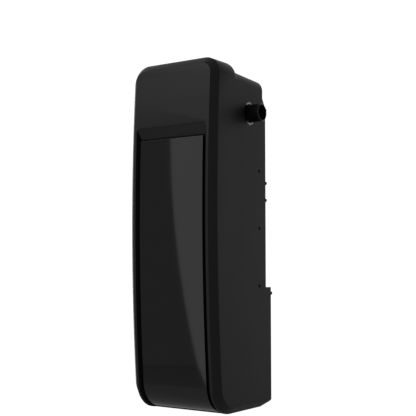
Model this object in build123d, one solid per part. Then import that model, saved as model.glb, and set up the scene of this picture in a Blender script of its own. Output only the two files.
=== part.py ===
from build123d import *
import os
from math import cos, pi, radians, sin, tan

# Side-mounted garage door opener. Millimetres, +Z up, the front faces -Y.
# Origin: centre of the four wall-bracket bolts, on the upper back face, midway between the sides.

# --- Housing ---------------------------------------------------------------------------------
height = 491.0  # underside to hood top
width = 148.0  # side to side, without the shaft ends
upper_depth = 135.8  # foremost front line to the upper back face
lower_step = 14.2  # how far the lower back stands behind the upper back
bolts_above_base = 300.0  # underside to the origin
wall = 2.8  # moulded cover wall
sheet = 2.0  # steel chassis sheet
bow_radius = 2900.0  # vertical crown of the front face
bow_height = 285.0  # height of the foremost line above the underside
chin_radius = 42.0  # curve from the front face into the underside
hood_depth = 62.5  # front plane to the rear of the raised hood
hood_drop = 12.5  # rear roof below the hood
roof_fall = 3.5  # rear roof slope towards the back
hood_corner = 25.0
roof_corner = 16.0
hood_rear_round = 9.0
edge_band = 9.4  # bevel between the front and the sides
top_set_in = 8.1  # upper back edge set in above the flare
set_in_height = 448.0
flare_height = 435.0
step_height = 172.0
heel_length = 16.0  # rear bottom bevel along the depth
heel_rise = 7.0

# --- Front panel -----------------------------------------------------------------------------
recess_width = 121.0
recess_depth = 6.0
recess_slope = 5.0  # the sides of the recess lean in by this much towards its floor
recess_corner = 6.0
recess_top = 399.0  # above the underside, where the ramp starts
ramp_drop = 16.2
panel_width = 108.2
panel_top_gap = 2.6
panel_thickness = 4.0
panel_tuck = 50.0  # how far the recess runs back along the underside

# --- Output shaft ----------------------------------------------------------------------------
shaft_height = 421.0  # axis above the underside
shaft_from_front = 94.0  # axis behind the front plane
stub_radius = 12.7
stub_length = 20.0
tube_bore_radius = 11.0
journal_radius = 14.0
shoulder_radius = 13.2
side_opening_radius = 16.25
opening_notch = 2.6
ring_radius = 20.0  # side bearing ring
ring_depth = 5.0
retainer_reach = 38.0  # half angle of each bright retainer seen in the side opening
retainer_set_in = 0.6  # from the side face
running_gap = 0.05  # radial clearance of every running fit
seat_gap = 0.2  # clearance between pieces that only lie beside each other

# --- Worm drive ------------------------------------------------------------------------------
gear_module = 1.75
wheel_teeth = 31
wheel_face = 8.0
worm_pitch_radius = 8.0
worm_length = 44.0
hub_radius = 18.0
case_wall = 4.0
case_half_width = 14.0
case_boss_end = 24.0
bushing_wall = 4.0
clutch_length = 17.0
clutch_radius = 23.0
dog_height = 4.0
key_height = 2.0
fork_groove = 8.0
fork_thickness = 4.0

# --- Motor -----------------------------------------------------------------------------------
can_radius = 31.0
can_wall = 2.0
can_length = 100.0
can_top = 44.0  # above the origin
motor_shaft_radius = 4.0
rotor_radius = 19.0
magnet_thickness = 8.0
commutator_radius = 9.0
tach_radius = 14.0

# --- Position sensor ------------------------------------------------------------------------
sensor_module = 1.0
drive_gear_teeth = 48
sensor_gear_teeth = 24
sensor_gear_face = 6.0
sensor_gear_x = 34.0

# --- Wall fixing -----------------------------------------------------------------------------
bolt_spacing_x = 72.0
bolt_spacing_z = 200.0
bolt_hole_radius = 4.2
nut_radius = 7.0
nut_thread_radius = 3.4
nut_length = 8.0
cover_screw_heights = (340.0, 257.0, 174.0)
cover_screw_from_front = 118.0
cover_screw_radius = 2.3
back_screw_heights = (432.5, 324.0, 299.0, 163.0)
back_screw_x = 71.3
back_screw_head = 2.7
back_screw_shank = 1.3

# --- Left-hand controls and bottom ----------------------------------------------------------
bezel_y = (-104.0, -44.0)
bezel_z = (-186.0, -96.0)
bezel_recess = 1.6
button_radius = 4.0
button_travel = 0.8
board_x = -58.0  # left face of the logic board
board_thickness = 1.6
door_width = 100.0
door_depth = 60.0
door_thickness = 2.5
door_gap = 0.4
door_front = -74.0
ear_width = 3.6
barrel_radius = 2.5
hinge_pin_radius = 1.2
battery_half = 46.0
battery_height = 90.0
inlet_radius = 4.5
gland_y, gland_z = -46.0, -236.0
learn_radius = 5.0
lens_offset = 14.0
board_y = (-108.0, -28.0)
board_z = (-190.0, -66.0)
standoff = 3.0
terminal_poles = 6
wire_radius = 1.7
transformer_x = (10.0, 64.0)

# --- Small hardware and the release lever ---------------------------------------------------
screw_shank = 1.6
back_screw_rise = 5.4
screw_boss = 4.0  # half the height of a cover boss behind a back screw
screw_boss_depth = 8.0
flange_front = -26.0
lever_x = -40.6
lever_drop = 46.0  # pivot below the output shaft
lever_half = 5.0
lever_thickness = 6.0
lever_reach = 14.0  # beyond the left side
lever_hub = 7.0
pivot_radius = 3.0
slot_clear = 1.2
slot_drop = 9.0
bracket_x = -29.0
clutch_face = -34.2
clutch_travel = 5.2
key_width = 5.0
hub_left = -30.0
dog_half_angle = 20.0
wheel_share = 0.42  # tooth thickness over tooth pitch
wheel_addendum = 0.85
thread_share = 0.36
thread_turns = 6
lug_radius = 5.0
foot_thickness = 5.0
motor_flange_thickness = 10.0
rotor_slots = 12
tach_slots = 16
sensor_bearing = -135.0  # direction of the sensor gear from the shaft, from +Y

# --- Worked out from the above ---------------------------------------------------------------
side = width / 2
base = -bolts_above_base
top = base + height
front = -upper_depth
inner_side = side - wall
bow_z = base + bow_height
hood_back = front + hood_depth
roof = top - hood_drop
step_z = base + step_height
flare_z = base + flare_height
set_in_z = base + set_in_height
recess_z = base + recess_top
panel_z = recess_z - ramp_drop
shaft_y = front + shaft_from_front
shaft_z = base + shaft_height
wheel_pitch_radius = gear_module * wheel_teeth / 2
worm_y = shaft_y - wheel_pitch_radius - worm_pitch_radius
thread_pitch = pi * gear_module


def block(x, y, z):
    """Box between pairs of limits."""
    size = [high - low for low, high in (x, y, z)]
    middle = [(low + high) / 2 for low, high in (x, y, z)]
    return Pos(*middle) * Box(*size)


def rod_x(radius, x, y, z):
    """Cylinder along X between two limits."""
    return Pos((x[0] + x[1]) / 2, y, z) * Rot(0, 90, 0) * Cylinder(radius, x[1] - x[0])


def rod_y(radius, x, y, z):
    """Cylinder along Y between two limits."""
    return Pos(x, (y[0] + y[1]) / 2, z) * Rot(90, 0, 0) * Cylinder(radius, y[1] - y[0])


def rod_z(radius, x, y, z):
    """Cylinder along Z between two limits."""
    return Pos(x, y, (z[0] + z[1]) / 2) * Cylinder(radius, z[1] - z[0])


def ring_x(outer, inner, x, y, z):
    return rod_x(outer, x, y, z) - rod_x(inner, x, y, z)


def ring_z(outer, inner, x, y, z):
    return rod_z(outer, x, y, z) - rod_z(inner, x, y, z)


def along_x(face_outline, low, high):
    """Extrude a closed outline given as (Y, Z) points or edges between two X limits."""
    return Pos(low, 0, 0) * extrude(Plane.YZ * make_face(face_outline), high - low)


def both_sides(piece):
    """The piece and its mirror image about the middle plane."""
    return [piece, piece.mirror(Plane.YZ)]


def front_line(z, inset):
    """Y of the crowned front face at a height."""
    return front + inset + (z - bow_z) ** 2 / (2 * bow_radius)


def front_wedge(inset, half_width):
    """Everything behind the crowned front and inside the chin curve, open at the top and back."""
    high, low, far = top + 60, base + inset, 120.0
    crown = ThreePointArc(
        (front_line(high, inset), high), (front + inset, bow_z), (front_line(low, inset), low)
    )
    rest = Polyline((front_line(low, inset), low), (far, low), (far, high), crown @ 0)
    outline = make_face([crown, *rest.edges()])
    chin = outline.vertices().sort_by_distance((front_line(low, inset), low, 0))[0]
    outline = fillet(chin, chin_radius - inset)
    return Pos(-half_width, 0, 0) * extrude(Plane.YZ * outline, 2 * half_width)


def housing(inset, open_back):
    """The housing's outside, drawn in by an inset. Open at the back it is the cover's cavity."""
    half, far = side - inset, 60.0
    roof_back = far if open_back else -top_set_in
    slope = roof_fall / (upper_depth - hood_depth - top_set_in)
    roof_front_z = roof - inset
    roof_back_z = roof_front_z - slope * (roof_back - hood_back)
    back = hood_back - inset
    hood_shape = block((-half, half), (front - 20, back), (base - 20, top - inset))
    hood_shape = fillet(hood_shape.edges().filter_by(Axis.Y).group_by(Axis.Z)[-1], hood_corner - inset)
    rear_edge = hood_shape.edges().group_by(Axis.Y)[-1].sort_by(Axis.Z)[-1]
    if not open_back:
        hood_shape = fillet(rear_edge, hood_rear_round)
    if open_back:
        back_points = [(far, roof_back_z), (far, base - 20)]
    else:
        lower = lower_step
        back_points = [
            (-top_set_in, roof_back_z),
            (-top_set_in, set_in_z),
            (0, flare_z),
            (0, step_z),
            (lower, step_z),
            (lower, base + heel_rise),
            (lower - heel_length, base),
            (lower - heel_length, base - 20),
        ]
    outline = Polyline((front - 20, roof_front_z), (back, roof_front_z), *back_points,
                       (front - 20, base - 20), close=True)
    rear_shape = along_x(outline.edges(), -half, half)
    rear_tops = rear_shape.edges().filter_by(lambda edge: edge.center().Z > roof - 2 * hood_drop
                                             and abs(edge.center().X) > half - 1
                                             and abs(edge.tangent_at(0.5).Y) > 0.9)
    rear_shape = fillet(rear_tops, roof_corner - inset)
    return (hood_shape + rear_shape) & front_wedge(inset, half)


def bevel_front(shape, size):
    """Bevel the crowned front face and the chin against the sides and the hood top."""
    faces = [face for face in shape.faces() if face.normal_at(face.center()).Y < -0.5]
    crown = max(faces, key=lambda face: face.area)
    return chamfer(crown.edges().sort_by(Axis.X)[-1:], size)


def behind(offset):
    """Everything behind the joggled back line moved forward by an offset."""
    far = 120.0
    corners = [
        (-top_set_in - offset, top + 20),
        (-top_set_in - offset, set_in_z),
        (-offset, flare_z),
        (-offset, step_z - offset),
        (lower_step - offset, step_z - offset),
        (lower_step - offset, base + heel_rise),
        (far, base + heel_rise),
        (far, top + 20),
    ]
    return along_x(Polyline(*corners, close=True).edges(), -side - 10, side + 10)


def sector(outer, inner, x, middle, half_angle):
    """Part of a ring about the output shaft, centred on an angle measured from +Y."""
    reach = 3 * outer
    angles = [radians(middle + turn) for turn in (-half_angle, 0, half_angle)]
    points = [(shaft_y + reach * cos(a), shaft_z + reach * sin(a)) for a in angles]
    wedge = along_x(Polyline((shaft_y, shaft_z), *points, close=True).edges(), x[0], x[1])
    return ring_x(outer, inner, x, shaft_y, shaft_z) & wedge


def gear_x(module, teeth, tooth_share, addendum, dedendum, x, y, z, turn):
    """Straight-flanked spur gear about an X axis; with no turn a tooth points along +Y."""
    pitch_radius = module * teeth / 2
    step = 2 * pi / teeth
    flank = tan(radians(20)) * module / pitch_radius
    root, tip = pitch_radius - dedendum * module, pitch_radius + addendum * module
    root_half = tooth_share * step / 2 + dedendum * flank
    tip_half = tooth_share * step / 2 - addendum * flank
    flanks = ((root, -root_half), (tip, -tip_half), (tip, tip_half), (root, root_half))
    points = []
    for tooth in range(teeth):
        for radius, offset in flanks:
            angle = tooth * step + offset
            points.append((radius * cos(angle), radius * sin(angle)))
    blank = along_x(Polyline(*points, close=True).edges(), x[0], x[1])
    return Pos(0, y, z) * Rot(turn, 0, 0) * blank


pieces = {}

# === Cover: one black moulding, open at the back, with a sunk front for the gloss panel =========
outside = bevel_front(housing(0, False), edge_band)
cavity = bevel_front(housing(wall, True), edge_band - (2 - 2**0.5) * wall)
recess_half = recess_width / 2
recess_back = front + panel_tuck
skin_behind = block(
    (-recess_half - wall, recess_half + wall),
    (front - 10, recess_back + wall),
    (base - 10, recess_z + wall),
)
skin_behind -= front_wedge(recess_depth + wall, width)
heel_line = Polyline(
    (lower_step - heel_length, base - 1),
    (lower_step + heel_length, base - 1),
    (lower_step + heel_length, base + 2 * heel_rise + wall),
    (lower_step - heel_length, base + wall),
    close=True,
)
heel_skin = along_x(heel_line.edges(), -side, side)
recess_line = Polyline(
    (front - 10, recess_z),
    (front_line(recess_z, 0), recess_z),
    (front_line(panel_z, recess_depth), panel_z),
    (recess_back, panel_z),
    (recess_back, base - 10),
    (front - 10, base - 10),
    close=True,
)
recess = along_x(recess_line.edges(), -recess_half, recess_half)
recess_room = block((-recess_half, recess_half), (front - 20, recess_back + 1), (base - 20, recess_z))
recess &= fillet(recess_room.edges().filter_by(Axis.Y).group_by(Axis.Z)[-1], recess_corner)
rail = front_wedge(0, width) & block((recess_half - recess_slope, width), (front - 40, 140), (base, top))
rail_front = max((face for face in rail.faces() if face.normal_at(face.center()).Y < -0.5),
                 key=lambda face: face.area)
rail_edge = rail_front.edges().sort_by(Axis.X)[:1]
rail = chamfer(rail_edge, recess_slope, recess_depth - 0.1, reference=rail_front)
recess -= front_wedge(recess_depth, width)
for side_rail in both_sides(rail):
    recess -= side_rail
cover = outside - (cavity - skin_behind - heel_skin) - recess - behind(sheet)

# Shaft openings with a notch above and below.
through = (-side - 1, side + 1)
left_wall = (-side - 1, -side + wall + 1)
notch_reach = side_opening_radius + opening_notch
notch_y = (shaft_y - opening_notch / 2, shaft_y + opening_notch / 2)
cover -= rod_x(side_opening_radius, through, shaft_y, shaft_z)
cover -= block(through, notch_y, (shaft_z - notch_reach, shaft_z + notch_reach))

# Recessed cover screws in both sides, seated on the chassis flanges.
flange_outer = inner_side - seat_gap
flange_inner = flange_outer - sheet
cover_screw_y = front + cover_screw_from_front
side_screws = []
shank_holes = []
for screw_height in cover_screw_heights:
    screw_z = base + screw_height
    cover -= rod_x(cover_screw_radius + seat_gap, through, cover_screw_y, screw_z)
    screw = rod_x(cover_screw_radius, (flange_outer, side - 0.8), cover_screw_y, screw_z)
    screw -= rod_x(1.0, (side - 2.2, side), cover_screw_y, screw_z)
    screw += rod_x(screw_shank, (flange_inner - 4, flange_outer), cover_screw_y, screw_z)
    side_screws += both_sides(screw)
    shank_holes.append(rod_x(screw_shank + running_gap, through, cover_screw_y, screw_z))
pieces["side_screws"] = side_screws

# Left-hand window for the controls, cord gland hole and slot for the release lever.
cover -= block(left_wall, bezel_y, bezel_z)
gland_neck = inlet_radius + 2.5
cover -= rod_x(gland_neck + running_gap, left_wall, gland_y, gland_z)
lever_z = shaft_z - lever_drop
slot_y = (shaft_y - lever_half - slot_clear, shaft_y + lever_half + slot_clear)
slot_z = (lever_z - lever_thickness / 2 - slot_drop, lever_z + lever_thickness / 2 + slot_clear)
cover -= block(left_wall, slot_y, slot_z)

# Battery hatch opening in the underside, with two hinge ears.
door_back = door_front + door_depth
half_door = door_width / 2
hinge_y = door_back - barrel_radius - door_gap
hinge_z = base + barrel_radius
cover -= block((-half_door, half_door), (door_front, door_back), (base - 1, base + wall + 1))
ear = block(
    (half_door - ear_width, half_door + 1.5),
    (hinge_y - barrel_radius, door_back + 1.5),
    (base, hinge_z + barrel_radius),
)
pin_line = (-half_door, half_door)
for side_ear in both_sides(ear):
    cover += side_ear
cover -= rod_x(hinge_pin_radius, pin_line, hinge_y, hinge_z)
pieces["battery_door_pin"] = [rod_x(hinge_pin_radius, pin_line, hinge_y, hinge_z)]

# === Gloss front panel, bent round the chin ====================================================
panel_back = recess_back - (recess_width - panel_width) / 2
panel = block(
    (-panel_width / 2, panel_width / 2), (front - 10, panel_back), (base - 10, panel_z - panel_top_gap)
)
panel &= front_wedge(recess_depth - panel_thickness, width)
panel -= front_wedge(recess_depth, width)
pieces["gloss_panel"] = [panel]

# === Chassis: joggled steel back with two side flanges =========================================
chassis = outside & behind(sheet)
ear_half = ring_radius + 6.0
lower_back = lower_step - sheet
for flange_x in ((-flange_outer, -flange_inner), (flange_inner, flange_outer)):
    chassis += block(flange_x, (flange_front, -sheet), (step_z - sheet, flare_z))
    chassis += block(flange_x, (flange_front, lower_back), (base + 14, step_z - sheet))
    ear_y = (shaft_y - ear_half, -top_set_in - 2 * sheet)
    chassis += block(flange_x, ear_y, (shaft_z - ear_half, shaft_z + ear_half))
chassis -= rod_x(ring_radius, through, shaft_y, shaft_z)
for hole in shank_holes:
    chassis -= hole

# Four wall-bracket bolts go into nuts welded inside, on a rectangle about the origin.
nuts = []
for x_sign in (-1, 1):
    for z_sign in (-1, 1):
        bolt_x, bolt_z = x_sign * bolt_spacing_x / 2, z_sign * bolt_spacing_z / 2
        chassis -= rod_y(bolt_hole_radius, bolt_x, (-sheet - 1, 1), bolt_z)
        nut = rod_y(nut_radius, bolt_x, (-sheet - nut_length, -sheet), bolt_z)
        nuts.append(nut - rod_y(nut_thread_radius, bolt_x, (-sheet - nut_length - 1, 1), bolt_z))
pieces["bracket_nuts"] = nuts

# Screws near both back edges hold the chassis to bosses inside the cover's side walls.
back_screws = []
back_sheet = behind(sheet)
for screw_height in back_screw_heights:
    screw_z = base + screw_height
    seat = 0 if screw_z > step_z else lower_step
    boss_y = (seat - sheet - screw_boss_depth, seat)
    boss_z = (screw_z - screw_boss, screw_z + screw_boss)
    boss = block((back_screw_x - screw_boss, inner_side), boss_y, boss_z) - back_sheet
    notch = block(
        (flange_inner - 1, side),
        (boss_y[0] - seat_gap, boss_y[1]),
        (boss_z[0] - seat_gap, boss_z[1] + seat_gap),
    )
    notch -= back_sheet
    head = rod_y(back_screw_head, back_screw_x, (seat, seat + back_screw_rise), screw_z)
    head = fillet(head.edges().group_by(Axis.Y)[-1], back_screw_rise / 3)
    head -= rod_y(1.1, back_screw_x, (seat + back_screw_rise / 2, seat + back_screw_rise + 1), screw_z)
    screw = head + rod_y(back_screw_shank, back_screw_x, (boss_y[0] + 2, seat), screw_z)
    hole = rod_y(back_screw_shank, back_screw_x, (boss_y[0] + 1.5, seat + 1), screw_z)
    back_screws += both_sides(screw)
    for side_boss, side_notch, side_hole in zip(both_sides(boss), both_sides(notch), both_sides(hole)):
        cover = cover + side_boss - side_hole
        chassis = chassis - side_notch - side_hole
pieces["back_screws"] = back_screws
pieces["cover"] = [cover]
pieces["chassis"] = [chassis]

# === Output shaft and its side bearings ========================================================
shaft_end = side + stub_length
journal_end = inner_side - seat_gap
ring_inner_x = journal_end - ring_depth
shaft = rod_x(stub_radius, (-shaft_end, shaft_end), shaft_y, shaft_z)
shaft += rod_x(shoulder_radius, (-side, side), shaft_y, shaft_z)
shaft += rod_x(journal_radius, (-journal_end, journal_end), shaft_y, shaft_z)
end_edges = shaft.edges().filter_by(lambda edge: abs(edge.center().X) > shaft_end - 0.1)
shaft = chamfer(end_edges, 0.8)
shaft -= rod_x(tube_bore_radius, (-shaft_end - 1, shaft_end + 1), shaft_y, shaft_z)
clutch_left = clutch_face - clutch_length
key_x = (clutch_left - clutch_travel + 4, clutch_face - 1.3)
keys = []
for direction in (-1, 1):
    key_z = sorted((direction * (journal_radius - 1), direction * (journal_radius + key_height)))
    key = block(
        key_x,
        (shaft_y - key_width / 2, shaft_y + key_width / 2),
        (shaft_z + key_z[0], shaft_z + key_z[1]),
    )
    keys.append(key)
    shaft -= key
pieces["output_shaft"] = [shaft]
pieces["shaft_keys"] = keys
bearing_x = (ring_inner_x, journal_end)
bearing = ring_x(ring_radius, journal_radius + running_gap, bearing_x, shaft_y, shaft_z)
retainer_x = (journal_end, side - retainer_set_in)
retainer_outer = side_opening_radius - seat_gap
for direction in (-1, 1):
    bearing += sector(
        retainer_outer, journal_radius + running_gap, retainer_x, 90 * direction, retainer_reach
    )
    tab_z = sorted((direction * (retainer_outer - 0.5), direction * (notch_reach - seat_gap)))
    bearing += block(
        retainer_x,
        (notch_y[0] + seat_gap, notch_y[1] - seat_gap),
        (shaft_z + tab_z[0], shaft_z + tab_z[1]),
    )
right_bearing, left_bearing = both_sides(bearing)
pieces["bearing_ring_right"] = [right_bearing]
pieces["bearing_ring_left"] = [left_bearing]
clip_x = (ring_inner_x - 2.0, ring_inner_x - 0.4)
clip = ring_x(journal_radius + 3, journal_radius, clip_x, shaft_y, shaft_z)
clip -= block(clip_x, (shaft_y - 2, shaft_y + 2), (shaft_z - ring_radius, shaft_z))
pieces["retaining_rings"] = both_sides(clip)

# === Worm wheel, hub and dog clutch ============================================================
shaft_room = rod_x(journal_radius, through, shaft_y, shaft_z)
dog_inner, dog_outer = journal_radius + 1.5, hub_radius + 4.0
wheel = rod_x(hub_radius, (hub_left, case_boss_end), shaft_y, shaft_z)
wheel += rod_x(dog_outer, (hub_left, -case_boss_end - 1), shaft_y, shaft_z)
wheel_x = (-wheel_face / 2, wheel_face / 2)
wheel += gear_x(
    gear_module, wheel_teeth, wheel_share, wheel_addendum, 1.2, wheel_x, shaft_y, shaft_z, 180
)
for quarter in range(4):
    hub_dog_x = (hub_left - dog_height, hub_left)
    wheel += sector(dog_outer, dog_inner, hub_dog_x, 90 * quarter, dog_half_angle)
pieces["worm_wheel"] = [wheel - shaft_room]

clutch = rod_x(clutch_radius, (clutch_left + dog_height, clutch_face), shaft_y, shaft_z)
groove_x = (lever_x - fork_groove / 2, lever_x + fork_groove / 2)
groove_bottom = clutch_radius - 4.0
clutch -= ring_x(clutch_radius + 1, groove_bottom, groove_x, shaft_y, shaft_z)
for quarter in range(4):
    ring_dog_x = (clutch_face, clutch_face + dog_height)
    clutch += sector(dog_outer, dog_inner, ring_dog_x, 45 + 90 * quarter, dog_half_angle)
clutch -= rod_x(journal_radius + running_gap, (-side, 0), shaft_y, shaft_z)
keyway_half = key_width / 2 + running_gap
keyway_top = journal_radius + key_height + seat_gap
clutch -= block(
    (-side, 0),
    (shaft_y - keyway_half, shaft_y + keyway_half),
    (shaft_z - keyway_top, shaft_z + keyway_top),
)
pieces["clutch_ring"] = [clutch]

# === Release lever: a bell crank whose fork rides in the clutch ring ===========================
fork_x = (lever_x - fork_thickness / 2, lever_x + fork_thickness / 2)
cheek_inner = lever_half + 3.4
cheek_outer = cheek_inner + sheet
saddle_top = lever_drop - 14.0
lever = rod_y(lever_hub, lever_x, (shaft_y - 8, shaft_y + 8), lever_z)
saddle = block(fork_x, (shaft_y - 22, shaft_y + 22), (shaft_z - 30, lever_z + saddle_top))
lever += saddle - rod_x(groove_bottom + 0.6, (-side, 0), shaft_y, shaft_z)
lever += block(fork_x, (shaft_y - 8, shaft_y + 8), (lever_z, shaft_z - 26))
arm_y = (shaft_y - lever_half, shaft_y + lever_half)
arm_z = (lever_z - lever_thickness / 2, lever_z + lever_thickness / 2)
arm = block((-side - lever_reach, lever_x), arm_y, arm_z)
arm = fillet(arm.edges().filter_by(Axis.Z).group_by(Axis.X)[0], lever_half - 0.4)
lever += arm
lever -= rod_z(2.4, -side - lever_reach + 6, shaft_y, (lever_z - 10, lever_z + 10))
pivot_y = (shaft_y - cheek_outer, shaft_y + cheek_outer)
lever -= rod_y(pivot_radius + running_gap, lever_x, pivot_y, lever_z)
pieces["release_lever"] = [lever]
bracket_z = (lever_z - lever_hub - 2, lever_z + lever_hub + 2)
bracket = block((bracket_x - sheet, bracket_x), (pivot_y[0], -sheet), bracket_z)
for cheek_y in (
    (shaft_y - cheek_outer, shaft_y - cheek_inner),
    (shaft_y + cheek_inner, shaft_y + cheek_outer),
):
    bracket += block((lever_x - lever_hub - 1, bracket_x), cheek_y, bracket_z)
bracket -= rod_y(pivot_radius, lever_x, pivot_y, lever_z)
pieces["lever_bracket"] = [bracket]
pieces["lever_pin"] = [rod_y(pivot_radius, lever_x, (pivot_y[0] - 2, pivot_y[1] + 2), lever_z)]

# === Gear case in two halves, with bushings ====================================================
case_room = wheel_pitch_radius + wheel_addendum * gear_module + 2.4
case_radius = case_room + case_wall
tower_room = worm_pitch_radius + 4.0
tower_radius = tower_room + case_wall
flange_top = can_top + motor_flange_thickness
tower_top = shaft_z + worm_length / 2 + 11.0
bushing_outer = hub_radius + bushing_wall
half_x = (-case_half_width, case_half_width)
boss_x = (-case_boss_end, case_boss_end)
case = rod_x(case_radius, half_x, shaft_y, shaft_z)
case += rod_x(bushing_outer + case_wall, boss_x, shaft_y, shaft_z)
case += rod_z(tower_radius, 0, worm_y, (flange_top, tower_top))
case += block(half_x, (worm_y, shaft_y), (shaft_z - 20, shaft_z + 20))
foot_z = (shaft_z - 22, shaft_z + 12)
case += block((-26, 26), (-sheet - foot_thickness, -sheet), foot_z)
case += block((-12, 12), (shaft_y + case_radius - 8, -sheet), foot_z)
lug_reach = case_radius + 1.0
tower_lug_y = worm_y - tower_radius - 2.0
lug_places = (
    (shaft_y + lug_reach * cos(radians(60)), shaft_z + lug_reach * sin(radians(60))),
    (shaft_y + lug_reach * cos(radians(60)), shaft_z - lug_reach * sin(radians(60))),
    (tower_lug_y, shaft_z + 19),
    (tower_lug_y, flange_top + 18),
)
for lug_y, lug_z in lug_places:
    case += rod_x(lug_radius, (-case_half_width, case_half_width), lug_y, lug_z)
room_x = (-case_half_width + case_wall, case_half_width - case_wall)
case -= rod_x(case_room, room_x, shaft_y, shaft_z)
case -= rod_z(tower_room, 0, worm_y, (flange_top - 1, tower_top - case_wall))
case -= rod_x(bushing_outer, (-case_boss_end - 1, case_boss_end + 1), shaft_y, shaft_z)
case_screws = []
for lug_y, lug_z in lug_places:
    case -= rod_x(screw_shank + running_gap, (-20, 20), lug_y, lug_z)
    screw = rod_x(3.4, (case_half_width, case_half_width + 2.6), lug_y, lug_z)
    case_screws.append(screw + rod_x(screw_shank, (-case_half_width, case_half_width), lug_y, lug_z))
foot_front = -sheet - foot_thickness
for screw_x in (-20, 20):
    for screw_z in (foot_z[0] + 6, foot_z[1] - 6):
        case -= rod_y(screw_shank + running_gap, screw_x, (foot_front - 1, 0), screw_z)
        screw = rod_y(3.4, screw_x, (foot_front - 2.6, foot_front), screw_z)
        case_screws.append(screw + rod_y(screw_shank, screw_x, (foot_front, -sheet), screw_z))
right_half = block((0, side), (front, 60), (base, top))
pieces["gear_case_right"] = [case & right_half]
pieces["gear_case_left"] = [case - right_half]
pieces["case_screws"] = case_screws
bushing_x = (case_half_width - case_wall, case_boss_end)
bushing = ring_x(bushing_outer, hub_radius + running_gap, bushing_x, shaft_y, shaft_z)
pieces["wheel_bushings"] = both_sides(bushing)

# === Worm on the motor shaft ===================================================================
worm_root = worm_pitch_radius - 2.0
worm_tip = worm_pitch_radius + 1.5
worm_z = (shaft_z - worm_length / 2, shaft_z + worm_length / 2)
thread_start = shaft_z - (thread_turns / 2 - 0.25) * thread_pitch  # a gap meets the middle tooth
helix = Helix(
    thread_pitch, thread_turns * thread_pitch, worm_pitch_radius, center=(0, worm_y, thread_start)
)
flank_slope = tan(radians(20))
half_thread = thread_share * thread_pitch / 2
bury = worm_pitch_radius - worm_root + 0.6
lift = worm_tip - worm_pitch_radius
thread_line = Polyline(
    (-bury, -half_thread - bury * flank_slope),
    (lift, -half_thread + lift * flank_slope),
    (lift, half_thread - lift * flank_slope),
    (-bury, half_thread + bury * flank_slope),
    close=True,
)
thread_plane = Plane(origin=helix @ 0, x_dir=(1, 0, 0), z_dir=(0, -1, 0))
thread = sweep(thread_plane * make_face(thread_line.edges()), path=helix, is_frenet=True)
worm = rod_z(worm_root, 0, worm_y, worm_z) + thread
worm -= rod_z(motor_shaft_radius, 0, worm_y, (worm_z[0] - 5, worm_z[1] + 5))
pieces["worm"] = [worm]

# === Motor: steel can with magnets, wound rotor, brushes and speed wheel =======================
can_bottom = can_top - can_length
can_z = (can_bottom, can_top)
flange = rod_z(can_radius, 0, worm_y, (can_top, flange_top))
lower_bushing_top = flange_top + 8
pieces["motor_flange"] = [
    flange - rod_z(motor_shaft_radius + 1.5, 0, worm_y, (can_top - 1, flange_top + 1))
]
pieces["motor_can"] = [ring_z(can_radius, can_radius - can_wall, 0, worm_y, can_z)]
end_cap = rod_z(can_radius, 0, worm_y, (can_bottom - 4, can_bottom))
end_cap += rod_z(12, 0, worm_y, (can_bottom, can_bottom + 6))
shaft_hole = rod_z(motor_shaft_radius + running_gap, 0, worm_y, (can_bottom - 9, can_bottom + 9))
pieces["motor_end_cap"] = [end_cap - shaft_hole]
magnet_outer = can_radius - can_wall
magnet_z = (can_bottom + 16, can_bottom + 74)
magnets = ring_z(magnet_outer, magnet_outer - magnet_thickness, 0, worm_y, magnet_z)
magnets -= block((-9, 9), (worm_y - can_radius, worm_y + can_radius), (can_bottom, can_top))
pieces["motor_magnets"] = list(magnets.solids())
journal_room = ring_z(
    tower_room, motor_shaft_radius + running_gap, 0, worm_y, (flange_top, lower_bushing_top)
)
upper_journal = ring_z(
    tower_room, motor_shaft_radius + running_gap, 0, worm_y,
    (worm_z[1] + 2, tower_top - case_wall),
)
pieces["worm_bushings"] = [journal_room, upper_journal]
tach_z = (can_bottom - 11, can_bottom - 9)
motor_shaft = rod_z(motor_shaft_radius, 0, worm_y, (tach_z[0] - 2, tower_top - case_wall - 0.5))
pieces["motor_shaft"] = [motor_shaft]
shaft_bore = rod_z(motor_shaft_radius, 0, worm_y, (can_bottom - 20, tower_top))
rotor_z = (magnet_z[0] + 3, magnet_z[1] - 3)
rotor = rod_z(rotor_radius, 0, worm_y, rotor_z)
for slot in range(rotor_slots):
    turn = Pos(0, worm_y, 0) * Rot(0, 0, slot * 360 / rotor_slots)
    rotor -= turn * block((rotor_radius - 9, rotor_radius + 1), (-1.2, 1.2), rotor_z)
pieces["rotor_core"] = [rotor - shaft_bore]
commutator_z = (rotor_z[1] + 4, rotor_z[1] + 15)
pieces["commutator"] = [rod_z(commutator_radius, 0, worm_y, commutator_z) - shaft_bore]
holder = ring_z(magnet_outer, commutator_radius + 6, 0, worm_y, (commutator_z[0], can_top - 4))
brushes = []
for direction in (-1, 1):
    brush_x = sorted((direction * (commutator_radius + 0.3), direction * (magnet_outer - 6)))
    brush = block(brush_x, (worm_y - 3, worm_y + 3), (commutator_z[0] + 2, commutator_z[1] - 2))
    brushes.append(brush)
    holder -= brush
pieces["brush_holder"] = [holder]
pieces["carbon_brushes"] = brushes
tach = rod_z(tach_radius, 0, worm_y, tach_z) - shaft_bore
for slot in range(tach_slots):
    turn = Pos(0, worm_y, 0) * Rot(0, 0, slot * 360 / tach_slots)
    tach -= turn * block((tach_radius - 4, tach_radius - 1), (-0.9, 0.9), tach_z)
pieces["tach_wheel"] = [tach]
tach_sensor = block((-6, 6), (worm_y + 8, worm_y + 22), (tach_z[0] - 6, can_bottom - 4))
tach_sensor -= block((-7, 7), (worm_y + 7, worm_y + 15.5), (tach_z[0] - 1.5, tach_z[1] + 1.5))
pieces["tach_sensor"] = [tach_sensor]

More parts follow.
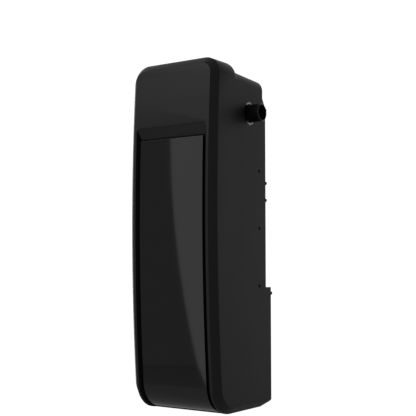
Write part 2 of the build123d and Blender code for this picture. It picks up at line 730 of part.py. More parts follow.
# === Door position sensor geared to the output shaft ===========================================
gear_gap = sensor_module * (drive_gear_teeth + sensor_gear_teeth) / 2
sensor_y = shaft_y + gear_gap * cos(radians(sensor_bearing))
sensor_z = shaft_z + gear_gap * sin(radians(sensor_bearing))
sensor_x = (sensor_gear_x, sensor_gear_x + sensor_gear_face)
drive_gear = gear_x(
    sensor_module, drive_gear_teeth, 0.42, 0.85, 1.15, sensor_x, shaft_y, shaft_z, sensor_bearing
)
drive_gear += rod_x(journal_radius + 4, (sensor_x[0] - 4, sensor_x[1] + 4), shaft_y, shaft_z)
pieces["sensor_drive_gear"] = [drive_gear - shaft_room]
half_tooth = 180 / sensor_gear_teeth
sensor_gear = gear_x(
    sensor_module, sensor_gear_teeth, 0.42, 0.85, 1.15, sensor_x, sensor_y, sensor_z,
    sensor_bearing + 180 + half_tooth,
)
sensor_gear -= rod_x(3 + running_gap, (0, side), sensor_y, sensor_z)
pieces["sensor_gear"] = [sensor_gear]
post_x = (sensor_x[0] - 1, sensor_x[1] + 6)
sensor_plate_x = (sensor_x[1] + 4, sensor_x[1] + 6)
sensor_plate = block(sensor_plate_x, (sensor_y - 10, -sheet), (sensor_z - 14, sensor_z + 10))
sensor_plate += rod_x(3, post_x, sensor_y, sensor_z)
sensor_plate -= rod_x(journal_radius + 6, sensor_plate_x, shaft_y, shaft_z)
pieces["sensor_bracket"] = [sensor_plate]

# === Logic board on the left, its bracket and its parts ========================================
board_right = board_x + board_thickness
board = block((board_x, board_right), board_y, board_z)
tray_x = (board_right + standoff, board_right + standoff + 1.5)
tray = block(tray_x, (board_y[0], -sheet), board_z)
posts = []
for post_y in (board_y[0] + 5, board_y[1] - 5):
    for post_z in (board_z[0] + 5, board_z[1] - 5):
        posts.append(rod_x(2.5, (board_right, tray_x[0]), post_y, post_z))
pieces["logic_board"] = [board]
pieces["board_bracket"] = [tray, *posts]

bezel_gap = 0.2
opening = block(
    (-side + bezel_recess, -inner_side),
    (bezel_y[0] + bezel_gap, bezel_y[1] - bezel_gap),
    (bezel_z[0] + bezel_gap, bezel_z[1] - bezel_gap),
)
rim = 3.0
bezel_back = -inner_side + 1.4
bezel = opening + block(
    (-inner_side, bezel_back),
    (bezel_y[0] - rim, bezel_y[1] + rim),
    (bezel_z[0] - rim, bezel_z[1] + rim),
)
switch_top = board_x - 4.4
controls = (
    ("learn_button", learn_radius, bezel_z[1] - 14),
    ("up_button", button_radius, bezel_z[1] - 34),
    ("set_button", button_radius, bezel_z[1] - 50),
    ("down_button", button_radius, bezel_z[1] - 66),
)
button_y = bezel_y[1] - 14
switches = []
for name, radius, button_z in controls:
    flange_x = (bezel_back + 0.1, bezel_back + 1.1)
    button = rod_x(radius, (-side, flange_x[0]), button_y, button_z)
    button = fillet(button.edges().group_by(Axis.X)[0], 0.6)
    button += rod_x(radius + 1.2, flange_x, button_y, button_z)
    stem_end = switch_top - button_travel - 0.1
    button += rod_x(1.5, (flange_x[1], stem_end), button_y, button_z)
    pieces[name] = [button]
    bezel -= rod_x(radius + running_gap, through, button_y, button_z)
    switch = block((board_x - 3.6, board_x), (button_y - 3, button_y + 3), (button_z - 3, button_z + 3))
    switches.append(switch + rod_x(1.7, (switch_top, board_x - 3.6), button_y, button_z))
pieces["tact_switches"] = switches
lenses = []
for lens_z in (controls[0][2], controls[1][2]):
    lens = rod_x(2.2, (-side + bezel_recess - 0.5, board_x), button_y - lens_offset, lens_z)
    lenses.append(lens)
    bezel -= rod_x(2.2, through, button_y - lens_offset, lens_z)
pieces["status_lenses"] = lenses
terminal_y = (bezel_y[0] + 5, bezel_y[0] + 21)
terminal_z = (bezel_z[0] + 5, bezel_z[0] + 57)
terminal_face = -side + bezel_recess + 0.6
bezel -= block(
    through,
    (terminal_y[0] - bezel_gap, terminal_y[1] + bezel_gap),
    (terminal_z[0] - bezel_gap, terminal_z[1] + bezel_gap),
)
terminal = block((terminal_face, board_x), terminal_y, terminal_z)
pole_pitch = (terminal_z[1] - terminal_z[0]) / terminal_poles
terminal_screws = []
for pole in range(terminal_poles):
    pole_z = terminal_z[0] + (pole + 0.5) * pole_pitch
    screw_room = rod_x(3.0, (terminal_face, terminal_face + 3), terminal_y[1] - 4.5, pole_z)
    terminal -= screw_room
    terminal -= rod_x(wire_radius, (terminal_face, terminal_face + 9), terminal_y[0] + 4.5, pole_z)
    head = rod_x(2.9, (terminal_face + 1, terminal_face + 3), terminal_y[1] - 4.5, pole_z)
    slot = block(
        (terminal_face + 1, terminal_face + 1.8),
        (terminal_y[1] - 8, terminal_y[1] - 1),
        (pole_z - 0.5, pole_z + 0.5),
    )
    terminal_screws.append(head - slot)
pieces["terminal_block"] = [terminal]
pieces["terminal_screws"] = terminal_screws
pieces["control_bezel"] = [bezel]

relay_z = board_z[1] - 14
relays = [
    block((board_x - 11, board_x), (y, y + 14), (relay_z - 9, relay_z + 9)) for y in (-102, -82)
]
pieces["relays"] = relays
capacitors = [rod_x(6, (board_x - 11.5, board_x), y, relay_z) for y in (-56, -40)]
pieces["capacitors"] = capacitors
sink = block((board_x - 10, board_x), (board_y[1] - 12, board_y[1] - 8), (-160, -110))
for fin in range(6):
    fin_z = -158 + 9 * fin
    sink += block((board_x - 10, board_x), (board_y[1] - 8, board_y[1] - 1), (fin_z, fin_z + 1.6))
pieces["heat_sink"] = [sink]

# === Transformer at the lower right, on the chassis ============================================
core_x, core_y, core_z = transformer_x, (-40.0, lower_back - 6.0), (-200.0, -146.0)
window = (core_x[1] - core_x[0]) / 6
middle_x = (core_x[0] + core_x[1]) / 2
core = block(core_x, core_y, core_z)
window_z = (core_z[0] + window, core_z[1] - window)
for direction in (-1, 1):
    gap_x = sorted((middle_x + direction * window, middle_x + direction * 2 * window))
    core -= block(gap_x, (core_y[0] - 1, core_y[1] + 1), window_z)
pieces["transformer_core"] = [core]
coil_reach = 2 * window - 0.3
coil = block(
    (middle_x - coil_reach, middle_x + coil_reach),
    (core_y[0] - 9, core_y[1] + 5),
    (window_z[0] + 0.3, window_z[1] - 0.3),
)
coil -= block((middle_x - window, middle_x + window), core_y, (window_z[0] - 1, window_z[1] + 1))
pieces["transformer_coil"] = [coil]
strap = block(core_x, (core_y[1], lower_back), (core_z[0], core_z[0] + window))
strap += block(core_x, (core_y[1], lower_back), (core_z[1] - window, core_z[1]))
pieces["transformer_strap"] = [*strap.solids()]

# === Backup battery above a hinged hatch =======================================================
battery_z = (base + 8.0, base + 8.0 + battery_height)
battery_y = (door_front + 1.5, door_back - 3.0)
battery = block((-battery_half, battery_half), battery_y, battery_z)
battery = fillet(battery.edges().filter_by(Axis.Z), 3)
terminals = [
    block((x - 3, x + 3), (battery_y[0] + 8, battery_y[0] + 9), (battery_z[1], battery_z[1] + 7))
    for x in (-battery_half + 10, battery_half - 10)
]
pieces["battery"] = [battery, *terminals]
shelf_y = (battery_y[1] + 0.3, lower_back)
shelf = block((-battery_half, battery_half), shelf_y, (battery_z[0] + 20, battery_z[0] + 60))
shelf -= block(
    (-battery_half + 2, battery_half - 2), (shelf_y[0] + 2, shelf_y[1]), (battery_z[0], battery_z[1])
)
pieces["battery_bracket"] = [shelf]
door = block(
    (-half_door + door_gap, half_door - door_gap),
    (door_front + door_gap, hinge_y),
    (base, base + door_thickness),
)
hinge_clear = barrel_radius * 2**0.5 + door_gap  # lets the door's corners turn past the ears
door -= block((-side, side), (hinge_y - hinge_clear, 0), (base - 1, base + wall + 9))
barrel_x = (-half_door + ear_width + 0.3, half_door - ear_width - 0.3)
door += block(barrel_x, (hinge_y - hinge_clear - 1, hinge_y), (base, base + door_thickness))
door += rod_x(barrel_radius, barrel_x, hinge_y, hinge_z)
door -= rod_x(hinge_pin_radius + running_gap, pin_line, hinge_y, hinge_z)
door -= block((-12, 12), (door_front, door_front + 9), (base - 1, base + 1.2))
pieces["battery_door"] = [door]

# === Power cord gland on the left ==============================================================
gland = rod_x(gland_neck + 2.5, (-side - 1.6, -side), gland_y, gland_z)
gland = fillet(gland.edges().group_by(Axis.X)[0], 1.0)
gland += rod_x(gland_neck, (-side, -inner_side + 3), gland_y, gland_z)
gland -= rod_x(inlet_radius, (-side - 3, -inner_side + 9), gland_y, gland_z)
pieces["cord_gland"] = [gland]
gland_nut = rod_x(gland_neck + 3, (-inner_side, -inner_side + 3), gland_y, gland_z)
pieces["gland_nut"] = [gland_nut - rod_x(gland_neck, through, gland_y, gland_z)]

# === Write one file per node ===================================================================
os.makedirs("parts", exist_ok=True)
for name, solids in pieces.items():
    shape = Compound(children=[solid for item in solids for solid in item.solids()])
    shape.label = name
    export_step(shape, f"parts/{name}.step")
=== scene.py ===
import math

import bmesh
import bpy
from mathutils import Matrix, Vector


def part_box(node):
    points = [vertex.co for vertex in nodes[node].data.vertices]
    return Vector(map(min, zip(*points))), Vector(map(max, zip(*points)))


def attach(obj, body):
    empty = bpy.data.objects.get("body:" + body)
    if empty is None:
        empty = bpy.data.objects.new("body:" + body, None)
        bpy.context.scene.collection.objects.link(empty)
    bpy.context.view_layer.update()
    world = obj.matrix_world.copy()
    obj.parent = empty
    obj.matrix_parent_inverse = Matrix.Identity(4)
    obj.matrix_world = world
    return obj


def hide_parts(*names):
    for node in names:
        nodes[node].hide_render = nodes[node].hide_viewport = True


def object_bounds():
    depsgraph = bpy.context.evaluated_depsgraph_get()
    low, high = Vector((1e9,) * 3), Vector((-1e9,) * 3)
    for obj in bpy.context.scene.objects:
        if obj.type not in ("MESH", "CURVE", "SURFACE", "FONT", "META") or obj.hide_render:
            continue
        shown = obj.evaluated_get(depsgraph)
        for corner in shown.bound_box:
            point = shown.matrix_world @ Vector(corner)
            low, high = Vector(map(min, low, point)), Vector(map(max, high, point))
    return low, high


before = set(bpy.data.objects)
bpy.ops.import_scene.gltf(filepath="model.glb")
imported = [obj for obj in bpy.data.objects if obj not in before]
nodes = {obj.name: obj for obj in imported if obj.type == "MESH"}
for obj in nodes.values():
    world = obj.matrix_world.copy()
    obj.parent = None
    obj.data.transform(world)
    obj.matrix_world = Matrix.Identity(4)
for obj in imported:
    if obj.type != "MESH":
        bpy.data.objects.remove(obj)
cad_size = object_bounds()


# --- Pressed steel back ----------------------------------------------------------------------
# The chassis is one 2 mm sheet, joggled at its lower third and folded forward into two side
# flanges. It is powder coated black, which leaves a faint orange peel. Four nuts are welded on.

def finish(name, colour, rough, grain, depth, metallic=0.0, stretch=(1, 1, 1), mottle=0.15, spread=0.06,
           specular=0.5):
    """A surface with a fine grain, uneven gloss and a slight change of tone from place to place."""
    material = bpy.data.materials.new(name)
    material.use_nodes = True
    tree = material.node_tree
    link = tree.links.new
    shader = tree.nodes["Principled BSDF"]
    shader.inputs["Metallic"].default_value = metallic
    shader.inputs["Specular IOR Level"].default_value = specular
    place = tree.nodes.new("ShaderNodeTexCoord")
    turn = tree.nodes.new("ShaderNodeMapping")
    turn.inputs["Scale"].default_value = stretch
    link(place.outputs["Object"], turn.inputs["Vector"])
    cloud = tree.nodes.new("ShaderNodeTexNoise")
    cloud.inputs["Scale"].default_value = 24.0
    cloud.inputs["Detail"].default_value = 5.0
    link(place.outputs["Object"], cloud.inputs["Vector"])
    grit = tree.nodes.new("ShaderNodeTexNoise")
    grit.inputs["Scale"].default_value = grain
    grit.inputs["Detail"].default_value = 3.0
    link(turn.outputs["Vector"], grit.inputs["Vector"])
    tint = tree.nodes.new("ShaderNodeMix")
    tint.data_type = "RGBA"
    tint.inputs["A"].default_value = (*[c * (1 - mottle) for c in colour], 1)
    tint.inputs["B"].default_value = (*[min(1, c * (1 + mottle)) for c in colour], 1)
    link(cloud.outputs["Fac"], tint.inputs["Factor"])
    link(tint.outputs["Result"], shader.inputs["Base Color"])
    both = tree.nodes.new("ShaderNodeMath")
    both.operation = "ADD"
    link(cloud.outputs["Fac"], both.inputs[0])
    link(grit.outputs["Fac"], both.inputs[1])
    gloss = tree.nodes.new("ShaderNodeMapRange")
    gloss.inputs["From Max"].default_value = 2.0
    gloss.inputs["To Min"].default_value = max(0.02, rough - spread)
    gloss.inputs["To Max"].default_value = rough + spread
    link(both.outputs["Value"], gloss.inputs["Value"])
    link(gloss.outputs["Result"], shader.inputs["Roughness"])
    bump = tree.nodes.new("ShaderNodeBump")
    bump.inputs["Strength"].default_value = 0.5
    bump.inputs["Distance"].default_value = depth
    link(grit.outputs["Fac"], bump.inputs["Height"])
    link(bump.outputs["Normal"], shader.inputs["Normal"])
    return material


def dress(material, *names):
    """Give carried-over nodes their finish."""
    for name in names:
        for slot in nodes[name].material_slots:
            slot.material = material


def eased(name, node, body, material, width, angle=35):
    """A copy of a machined or moulded node with its sharp edges eased, standing for it."""
    mesh = bpy.data.meshes.new(name)
    shape = bmesh.new()
    shape.from_mesh(nodes[node].data)
    bmesh.ops.remove_doubles(shape, verts=shape.verts, dist=1e-6)
    bmesh.ops.dissolve_limit(shape, angle_limit=math.radians(0.4), verts=shape.verts, edges=shape.edges,
                             use_dissolve_boundaries=False)
    shape.to_mesh(mesh)
    shape.free()
    piece = bpy.data.objects.new(name, mesh)
    bpy.context.collection.objects.link(piece)
    mesh.materials.clear()
    mesh.materials.append(material)
    for face in mesh.polygons:
        face.use_smooth = True
        face.material_index = 0
    ease = piece.modifiers.new("eased_edges", "BEVEL")
    ease.width = width
    ease.segments = 2
    ease.limit_method = "ANGLE"
    ease.angle_limit = math.radians(angle)
    ease.harden_normals = True
    mesh.set_sharp_from_angle(angle=math.radians(angle))
    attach(piece, body)
    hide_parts(node)
    return piece


powder_black = finish("powder_black", (0.012, 0.012, 0.0125), 0.48, 700, 0.00006, mottle=0.1, specular=0.4)
eased("pressed_back", "chassis", "root", powder_black, 0.0003)
bright_zinc = finish("bright_zinc", (0.62, 0.63, 0.65), 0.3, 500, 0.00002, metallic=1.0, mottle=0.12)
dress(bright_zinc, "bracket_nuts")

# --- Motor -----------------------------------------------------------------------------------
# A brushed motor stands upright in front of the back. Its can is drawn steel with two ferrite
# magnets glued inside, and its rotor of stacked laminations turns in an amber nylon brush holder.
can_zinc = finish("can_zinc", (0.4, 0.41, 0.42), 0.36, 260, 0.00003, metallic=1.0, stretch=(1, 1, 14))
dress(can_zinc, "motor_can", "motor_end_cap")
cast_alloy = finish("cast_alloy", (0.55, 0.56, 0.57), 0.5, 420, 0.00012, metallic=1.0, mottle=0.1)
dress(cast_alloy, "motor_flange")
ferrite_grey = finish("ferrite_grey", (0.045, 0.045, 0.05), 0.75, 900, 0.0001)
dress(ferrite_grey, "motor_magnets")
carbon_grey = finish("carbon_grey", (0.03, 0.03, 0.032), 0.55, 1400, 0.00005, spread=0.12)
dress(carbon_grey, "carbon_brushes")
ground_steel = finish("ground_steel", (0.7, 0.7, 0.71), 0.22, 300, 0.00001, metallic=1.0, stretch=(1, 1, 30))
dress(ground_steel, "motor_shaft")
lamination = finish("lamination", (0.17, 0.17, 0.18), 0.45, 90, 0.0002, metallic=1.0, stretch=(0.2, 0.2, 18))
dress(lamination, "rotor_core")
turned_copper = finish("turned_copper", (0.8, 0.4, 0.24), 0.3, 200, 0.00003, metallic=1.0, stretch=(1, 1, 20))
dress(turned_copper, "commutator")
amber_nylon = finish("amber_nylon", (0.5, 0.27, 0.06), 0.42, 600, 0.00004)
dress(amber_nylon, "brush_holder")
black_nylon = finish("black_nylon", (0.02, 0.02, 0.021), 0.5, 800, 0.00005)
dress(black_nylon, "tach_wheel", "tach_sensor")

# --- Worm drive ------------------------------------------------------------------------------
# The worm turns a bronze wheel inside a cast aluminium case in two halves, which four screws
# through the joint and four through the foot hold together and on the back.
oiled_bronze = finish("oiled_bronze", (0.5, 0.31, 0.12), 0.28, 300, 0.00003, metallic=1.0, stretch=(12, 1, 1))
dress(oiled_bronze, "worm_wheel", "wheel_bushings", "worm_bushings")
black_oxide = finish("black_oxide", (0.03, 0.03, 0.033), 0.34, 420, 0.00003, metallic=0.85, stretch=(14, 1, 1),
                     mottle=0.25)
dress(black_oxide, "worm")
dress(cast_alloy, "gear_case_left", "gear_case_right")


def screw_shape(shape, place, head_radius, head_rise, dome, socket, socket_depth, shank, length):
    """One screw as a turned solid: domed head, six-sided socket, shank.

    Its head faces +Z until place turns it.
    """
    core = bmesh.new()
    hexagon = bmesh.ops.create_circle(core, cap_ends=True, segments=6, radius=socket)["verts"]
    bmesh.ops.translate(core, vec=(0, 0, head_rise - socket_depth), verts=hexagon)
    rim = bmesh.ops.extrude_edge_only(core, edges=core.edges[:])["geom"]
    ring = [item for item in rim if isinstance(item, bmesh.types.BMVert)]
    bmesh.ops.translate(core, vec=(0, 0, socket_depth), verts=ring)
    edges = [item for item in rim if isinstance(item, bmesh.types.BMEdge)]
    edges = [edge for edge in edges if all(vert in ring for vert in edge.verts)]
    bmesh.ops.subdivide_edges(core, edges=edges, cuts=3)
    edges = [edge for edge in core.edges if edge.is_boundary]
    steps = [(socket + 0.2e-3, head_rise)]
    steps += [(head_radius - dome + dome * math.sin(a), head_rise - dome + dome * math.cos(a))
              for a in [math.radians(turn) for turn in (0, 22, 45, 68, 90)]]
    steps += [(head_radius, 0), (shank, 0), (shank, -length), (shank * 0.5, -length - shank)]
    for radius, level in steps:
        out = bmesh.ops.extrude_edge_only(core, edges=edges)["geom"]
        edges = [item for item in out if isinstance(item, bmesh.types.BMEdge) and item.is_boundary]
        for vert in {vert for edge in edges for vert in edge.verts}:
            flat = Vector((vert.co.x, vert.co.y, 0)).normalized() * radius
            vert.co = (flat.x, flat.y, level)
    bmesh.ops.contextual_create(core, geom=edges)
    bmesh.ops.recalc_face_normals(core, faces=core.faces)
    bmesh.ops.transform(core, matrix=place, verts=core.verts)
    spare = bpy.data.meshes.new("screw")
    core.to_mesh(spare)
    core.free()
    shape.from_mesh(spare)
    bpy.data.meshes.remove(spare)


def new_piece(name, shape, body, material, node, angle=35):
    """Make a finished mesh an object that rides on its body and stands for a node."""
    mesh = bpy.data.meshes.new(name)
    shape.to_mesh(mesh)
    shape.free()
    mesh.materials.append(material)
    for face in mesh.polygons:
        face.use_smooth = True
    mesh.set_sharp_from_angle(angle=math.radians(angle))
    piece = bpy.data.objects.new(name, mesh)
    bpy.context.collection.objects.link(piece)
    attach(piece, body)
    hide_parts(node)
    return piece


def facing(point, direction):
    """Placing that turns +Z to a direction and moves it to a point."""
    return Matrix.Translation(point) @ Vector(direction).to_track_quat("Z", "Y").to_matrix().to_4x4()


def islands(node):
    """The centre and box of each loose solid of a node."""
    shape = bmesh.new()
    shape.from_mesh(nodes[node].data)
    bmesh.ops.remove_doubles(shape, verts=shape.verts, dist=1e-6)
    left, found = set(shape.verts), []
    while left:
        seed = left.pop()
        group, queue = [seed], [seed]
        while queue:
            for edge in queue.pop().link_edges:
                for vert in edge.verts:
                    if vert in left:
                        left.remove(vert)
                        group.append(vert)
                        queue.append(vert)
        points = [vert.co.copy() for vert in group]
        low = Vector([min(point[i] for point in points) for i in range(3)])
        high = Vector([max(point[i] for point in points) for i in range(3)])
        found.append((low, high))
    shape.free()
    return sorted(found, key=lambda pair: tuple(round(value, 4) for value in pair[0]))


case_set = bmesh.new()
for low, high in islands("case_screws"):
    middle = (low + high) / 2
    if high.x - low.x > 0.02:
        screw_shape(case_set, facing((high.x - 0.0026, middle.y, middle.z), (1, 0, 0)), 0.0034, 0.0026, 0.0008,
                    0.0016, 0.0014, 0.0016, 0.0262)
    else:
        screw_shape(case_set, facing((middle.x, low.y + 0.0026, middle.z), (0, -1, 0)), 0.0034, 0.0026, 0.0008,
                    0.0016, 0.0014, 0.0016, 0.0034)
new_piece("case_bolts", case_set, "root", bright_zinc, "case_screws")

# --- Output shaft and bearings ---------------------------------------------------------------
# A hollow shaft with a black oxide skin passes right through. It runs in a bright steel bearing
# in each side flange, whose keyed retainers show in the notches of the side openings.
dress(black_oxide, "output_shaft", "clutch_ring")
retainer_steel = finish("retainer_steel", (0.42, 0.42, 0.43), 0.36, 300, 0.00001, metallic=1.0, mottle=0.05)
dress(retainer_steel, "bearing_ring_left", "bearing_ring_right")
dress(bright_zinc, "shaft_keys")
spring_black = finish("spring_black", (0.02, 0.02, 0.021), 0.35, 500, 0.00002, metallic=0.7)
dress(spring_black, "retaining_rings")
natural_nylon = finish("natural_nylon", (0.78, 0.77, 0.7), 0.45, 500, 0.00004, mottle=0.04)
dress(natural_nylon, "sensor_drive_gear", "sensor_gear")
dress(bright_zinc, "sensor_bracket")

# --- Release lever ---------------------------------------------------------------------------
# A red powder-coated bell crank. The cord tied in its eye pulls the outer end down, and its
# fork draws the clutch ring away from the wheel. It turns on a pin in a folded bracket.
lever_red = finish("lever_red", (0.42, 0.02, 0.015), 0.38, 650, 0.00008, mottle=0.1)
eased("bell_crank", "release_lever", "release", lever_red, 0.0003)
dress(bright_zinc, "lever_bracket", "lever_pin")

# --- Logic board -----------------------------------------------------------------------------
# Glass epoxy with green solder mask, on a zinc tray with pressed standoffs. It carries the
# relays, capacitors, a finned heat sink, the terminal block and a switch behind each button.
board_green = finish("board_green", (0.01, 0.1, 0.035), 0.3, 130, 0.00008, stretch=(1, 5, 1), mottle=0.35)
dress(board_green, "logic_board")
dress(bright_zinc, "board_bracket")
relay_blue = finish("relay_blue", (0.02, 0.07, 0.25), 0.4, 600, 0.00003)
dress(relay_blue, "relays")
sleeve_grey = finish("sleeve_grey", (0.03, 0.035, 0.05), 0.32, 300, 0.00003, stretch=(8, 1, 1))
dress(sleeve_grey, "capacitors")
sink_black = finish("sink_black", (0.03, 0.03, 0.032), 0.4, 240, 0.00004, metallic=0.8, stretch=(16, 1, 1))
dress(sink_black, "heat_sink")
dress(black_nylon, "tact_switches")
terminal_green = finish("terminal_green", (0.03, 0.16, 0.07), 0.42, 500, 0.00003)
dress(terminal_green, "terminal_block")
dress(bright_zinc, "terminal_screws")
lens_clear = finish("lens_clear", (0.75, 0.76, 0.74), 0.12, 200, 0.00001, mottle=0.03, spread=0.03)
dress(lens_clear, "status_lenses")

# --- Transformer and battery -----------------------------------------------------------------
# A laminated core with a taped coil is strapped to the back. The backup battery stands on its
# shelf above the hatch and has two flat tabs for its leads.
core_steel = finish("core_steel", (0.14, 0.14, 0.15), 0.5, 90, 0.0002, metallic=1.0, stretch=(0.2, 20, 0.2))
dress(core_steel, "transformer_core")
dress(amber_nylon, "transformer_coil")
dress(bright_zinc, "transformer_strap", "battery_bracket")
battery_grey = finish("battery_grey", (0.07, 0.07, 0.08), 0.5, 450, 0.00006)
dress(battery_grey, "battery")

# --- Cover -----------------------------------------------------------------------------------
# Injection-moulded ABS in matte black with a fine spark-eroded texture. It drops over the
# chassis from the front, and three screws in each side and eight behind hold it.
cover_black = finish("cover_black", (0.009, 0.009, 0.0095), 0.52, 1500, 0.00003, mottle=0.08, spread=0.04,
                     specular=0.31)
moulded_cover = eased("moulded_cover", "cover", "root", cover_black, 0.0006, angle=30)

# The groove round the panel gets a near-black, almost unreflective material: painted shade standing for the shadow
# deep in the narrow channel.
groove_painted_shade = finish("groove_painted_shade", (0.004, 0.004, 0.0042), 0.85, 2200, 0.0001, specular=0.09)
moulded_cover.data.materials.append(groove_painted_shade)
panel_low, panel_high = [Vector(corner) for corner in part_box("gloss_panel")]
groove_half, ramp_end, chin_top = 0.0603, panel_high.z + 0.0024, panel_low.z + 0.05
ramp_height, bow_diameter, bow_middle = 0.0165, 5.8, -0.015
# The side walls and floor of the groove take the painted shade material.
for face in moulded_cover.data.polygons:
    spot, out = face.center, face.normal
    front_y = panel_low.y - 0.002 + (spot.z - bow_middle) ** 2 / bow_diameter
    sunk = spot.y > front_y + 0.0006 or spot.z < chin_top
    beside = panel_high.x < abs(spot.x) < groove_half and spot.z < ramp_end + ramp_height
    side_wall = beside and abs(out.x) > 0.5
    behind = abs(spot.x) < groove_half and spot.z < ramp_end + 0.001
    bottom = behind and out.y < -0.3 and spot.y > front_y + 0.004
    if sunk and (side_wall or bottom) and spot.y < panel_high.y + 0.006:
        face.material_index = 1

side_set = bmesh.new()
for low, high in islands("side_screws"):
    middle = (low + high) / 2
    side = 1 if middle.x > 0 else -1
    face = high.x if side > 0 else low.x
    screw_shape(side_set, facing((face - side * 0.0026, middle.y, middle.z), (side, 0, 0)), 0.0023, 0.0026, 0.0005,
                0.0011, 0.0014, 0.0016, 0.005)
oxide_screw = finish("oxide_screw", (0.003, 0.003, 0.0032), 0.7, 500, 0.00002, specular=0.08)
new_piece("cover_screws", side_set, "root", oxide_screw, "side_screws")
back_set = bmesh.new()
for low, high in islands("back_screws"):
    middle = (low + high) / 2
    screw_shape(back_set, facing((middle.x, high.y - 0.0054, middle.z), (0, 1, 0)), 0.0027, 0.0054, 0.0018,
                0.0011, 0.0026, 0.0013, 0.007)
new_piece("button_head_screws", back_set, "root", oxide_screw, "back_screws")

# --- Gloss panel -----------------------------------------------------------------------------
# A 4 mm black acrylic panel, bent round the chin and bonded in the recess of the cover. Its
# face is polished, with a very slight ripple from the bending.
acrylic_black = finish("acrylic_black", (0.0055, 0.0055, 0.006), 0.04, 9, 0.00002, mottle=0.2, spread=0.015)
eased("acrylic_panel", "gloss_panel", "root", acrylic_black, 0.0004, angle=40)

# --- Controls --------------------------------------------------------------------------------
# Four press caps in a moulded bezel on the left side: a larger yellow one to teach the remote,
# and grey ones for up, set and down. Their faces are dished for the fingertip.
eased("control_frame", "control_bezel", "root", cover_black, 0.00015, angle=40)
cap_yellow = finish("cap_yellow", (0.75, 0.48, 0.02), 0.38, 900, 0.00003, mottle=0.05)
cap_grey = finish("cap_grey", (0.26, 0.26, 0.27), 0.42, 900, 0.00003, mottle=0.05)


def press_cap(name, node, body, material, marks):
    """A turned cap with a dished face, a flange behind the bezel, a stem and a raised mark."""
    low, high = [Vector(corner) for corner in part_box(node)]
    middle = (low + high) / 2
    wide = (high.z - low.z) / 2
    radius = wide - 0.0012
    reach = high.x - low.x
    outline = [(0, 0.0005), (radius * 0.45, 0.00042), (radius * 0.78, 0.00012), (radius - 0.0006, 0),
               (radius - 0.00018, 0.00018), (radius, 0.0006), (radius, 0.0042), (wide, 0.0042), (wide, 0.0052),
               (0.0015, 0.0052), (0.0015, reach - 0.0002), (0.0013, reach), (0, reach)]
    shape = bmesh.new()
    line = [shape.verts.new((depth, span, 0)) for span, depth in outline]
    edges = [shape.edges.new(pair) for pair in zip(line, line[1:])]
    bmesh.ops.spin(shape, geom=line + edges, cent=(0, 0, 0), axis=(1, 0, 0), angle=math.tau, steps=48,
                   use_merge=True)
    bmesh.ops.remove_doubles(shape, verts=shape.verts, dist=1e-6)
    bmesh.ops.recalc_face_normals(shape, faces=shape.faces)
    if marks:
        mark = bmesh.ops.create_cone(shape, cap_ends=True, segments=marks, radius1=0.0015, radius2=0.0013,
                                     depth=0.0005)["verts"]
        turn = Matrix.Rotation(math.radians(-90), 4, "Y")
        spin = Matrix.Rotation(math.radians(90 if name.startswith("up") else -90 if marks == 3 else 45), 4, "X")
        bmesh.ops.transform(shape, matrix=spin @ turn, verts=mark)
        bmesh.ops.translate(shape, vec=(0.00042, 0, 0), verts=mark)
    bmesh.ops.translate(shape, vec=(low.x, middle.y, middle.z), verts=shape.verts)
    new_piece(name, shape, body, material, node, angle=40)


press_cap("learn_cap", "learn_button", "learn", cap_yellow, 0)
press_cap("up_cap", "up_button", "up", cap_grey, 3)
press_cap("set_cap", "set_button", "set", cap_grey, 4)
press_cap("down_cap", "down_button", "down", cap_grey, 3)

# --- Cord gland ------------------------------------------------------------------------------
# A black nylon bush for the mains lead, clamped in the left wall by a nut from the inside.
eased("cord_bush", "cord_gland", "root", black_nylon, 0.00025)
dress(black_nylon, "gland_nut")

# --- Battery hatch ---------------------------------------------------------------------------
# A moulded door in the underside, hinged at its rear edge on a zinc pin between two ears, with
# a shallow finger notch at its front edge.
eased("hatch_door", "battery_door", "hatch", cover_black, 0.0003)
dress(bright_zinc, "battery_door_pin")

# --- Studio ----------------------------------------------------------------------------------
# A pale round floor well below the opener, as it hangs on a wall, and a room that is bright
# behind it. A tall softbox at the front left shows its slanted edge in the panel.
low, high = cad_size
floor_radius, floor_drop = 1.9, 0.35
floor_shape = bmesh.new()
bmesh.ops.create_circle(floor_shape, cap_ends=True, segments=128, radius=floor_radius)
bmesh.ops.translate(floor_shape, vec=(0, 0, low[2] - floor_drop), verts=floor_shape.verts)
floor_mesh = bpy.data.meshes.new("studio_floor")
floor_shape.to_mesh(floor_mesh)
floor_shape.free()
floor = bpy.data.objects.new("studio_floor", floor_mesh)
bpy.context.collection.objects.link(floor)
floor_mesh.materials.append(finish("floor_white", (0.5, 0.5, 0.5), 0.7, 40, 0.0, mottle=0.01))

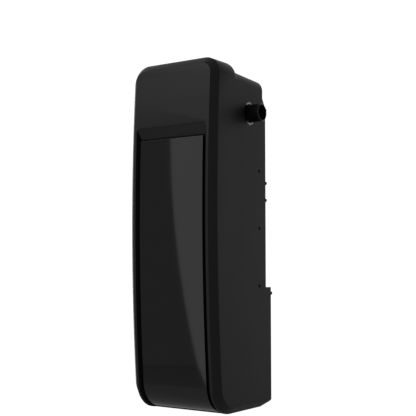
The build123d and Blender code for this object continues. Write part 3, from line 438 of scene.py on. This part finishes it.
world = bpy.data.worlds.new("studio")
bpy.context.scene.world = world
world.use_nodes = True
sky = world.node_tree
sky_link = sky.links.new
direction = sky.nodes.new("ShaderNodeTexCoord")
toward = sky.nodes.new("ShaderNodeVectorMath")
toward.operation = "DOT_PRODUCT"
bright_side = math.radians(-146)
toward.inputs[1].default_value = (math.sin(bright_side), -math.cos(bright_side), 0)
sky_link(direction.outputs["Generated"], toward.inputs[0])
fade = sky.nodes.new("ShaderNodeMapRange")
fade.interpolation_type = "SMOOTHSTEP"
fade.inputs["From Min"].default_value = 0.25
fade.inputs["From Max"].default_value = 0.85
fade.inputs["To Min"].default_value = 0.235
fade.inputs["To Max"].default_value = 1.05
sky_link(toward.outputs["Value"], fade.inputs["Value"])
sky_link(fade.outputs["Result"], sky.nodes["Background"].inputs["Strength"])
sky.nodes["Background"].inputs["Color"].default_value = (1, 1, 1, 1)


def softbox(name, azimuth, distance, height, size, power, roll=0.0, shift=0.0):
    """A rectangular light aimed level at the opener's axis, at an azimuth from the front."""
    angle = math.radians(azimuth)
    outward = Vector((math.sin(angle), -math.cos(angle), 0))
    across = Vector((math.cos(angle), math.sin(angle), 0))
    light = bpy.data.lights.new(name, "AREA")
    light.shape = "RECTANGLE"
    light.size, light.size_y = size
    light.energy = power
    item = bpy.data.objects.new(name, light)
    bpy.context.collection.objects.link(item)
    item.location = outward * distance + across * shift + Vector((0, 0, height))
    item.rotation_euler = (Matrix.Rotation(math.radians(roll), 3, outward)
                           @ outward.to_track_quat("Z", "Y").to_matrix()).to_euler()
    item.visible_camera = False
    return item


# The panel mirrors the key softbox: its left edge stands 82 mm to the left of its azimuth line.
softbox("key_softbox", -30, 1.3, 0.29, (0.8, 1.8), 2.8, roll=4.0, shift=0.318)
softbox("rear_strip", 146, 1.6, 0.1, (0.25, 1.6), 0.2)
softbox("top_softbox", -28, 1.7, 1.45, (1.4, 1.0), 15.0)

camera_data = bpy.data.cameras.new("view")
camera_data.lens = 77.4
camera_data.sensor_width = 36.0
camera = bpy.data.objects.new("view", camera_data)
bpy.context.collection.objects.link(camera)
camera.location = (0.743, -1.125, low[2] + 0.198)
camera.rotation_euler = (math.radians(90 + 3.92), 0, math.radians(34.43))
bpy.context.scene.camera = camera
bpy.context.scene.view_settings.view_transform = "Standard"
